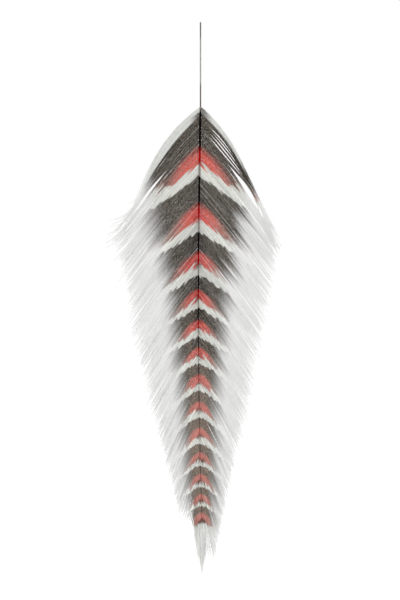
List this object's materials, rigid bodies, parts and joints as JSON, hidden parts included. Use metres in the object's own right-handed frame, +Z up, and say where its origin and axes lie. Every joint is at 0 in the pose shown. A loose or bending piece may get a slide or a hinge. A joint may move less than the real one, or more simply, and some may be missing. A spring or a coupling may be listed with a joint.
{
  "type": "hackle feather",
  "caption": "Narrow barred hackle feather hung tip down by its bare quill, with a flexible shaft and free barbs.",
  "frame": {"origin": "on the shaft's centre line, where the bare quill meets the vane", "axes": "+Z up the shaft towards the quill's free end, X across the vane, -Y out of the vane's face"},
  "size_m": [0.0398, 0.0024, 0.14],
  "materials": {
    "quill": "dry horn, barred dark and pale",
    "shaft": "satin horn, barred black and dark red",
    "pith": "matte foam-like pith",
    "barb_barred": "soft matte barbs, barred dark grey, red and white",
    "barb_pale": "soft translucent white barbs"
  },
  "bodies": {
    "feather_base": {"quill_tube": "quill", "quill_pith": "pith", "shaft_wall_upper": "shaft", "shaft_pith_upper": "pith", "edge_barbs_left": "barb_pale", "barbs_left_01": "barb_barred", "barbs_left_02": "barb_barred", "barbs_left_03": "barb_barred", "edge_barbs_right": "barb_pale", "barbs_right_01": "barb_barred", "barbs_right_02": "barb_barred", "barbs_right_03": "barb_barred"},
    "feather_middle": {"shaft_wall_middle": "shaft", "shaft_pith_middle": "pith", "barbs_left_04": "barb_barred", "barbs_left_05": "barb_barred", "barbs_left_06": "barb_barred", "barbs_left_07": "barb_barred", "barbs_left_08": "barb_barred", "barbs_right_04": "barb_barred", "barbs_right_05": "barb_barred", "barbs_right_06": "barb_barred", "barbs_right_07": "barb_barred", "barbs_right_08": "barb_barred"},
    "feather_tip": {"shaft_wall_lower": "shaft", "shaft_pith_lower": "pith", "tip_barb": "barb_pale", "barbs_left_09": "barb_barred", "barbs_left_10": "barb_barred", "barbs_left_11": "barb_barred", "barbs_left_12": "barb_barred", "barbs_left_13": "barb_barred", "tip_barbs_left": "barb_pale", "barbs_right_09": "barb_barred", "barbs_right_10": "barb_barred", "barbs_right_11": "barb_barred", "barbs_right_12": "barb_barred", "barbs_right_13": "barb_barred", "tip_barbs_right": "barb_pale"}
  },
  "joints": [
    {"name": "flex_1", "type": "hinge", "parent": "feather_base", "child": "feather_middle", "pos_m": [-0.00076, 0, -0.0428], "axis": [1, 0, 0], "range_deg": [-20, 20], "stiffness_Nm_per_rad": 0.0002},
    {"name": "flex_2", "type": "hinge", "parent": "feather_middle", "child": "feather_tip", "pos_m": [-0.00042, 0, -0.0788], "axis": [1, 0, 0], "range_deg": [-20, 20], "stiffness_Nm_per_rad": 0.00004}
  ]
}
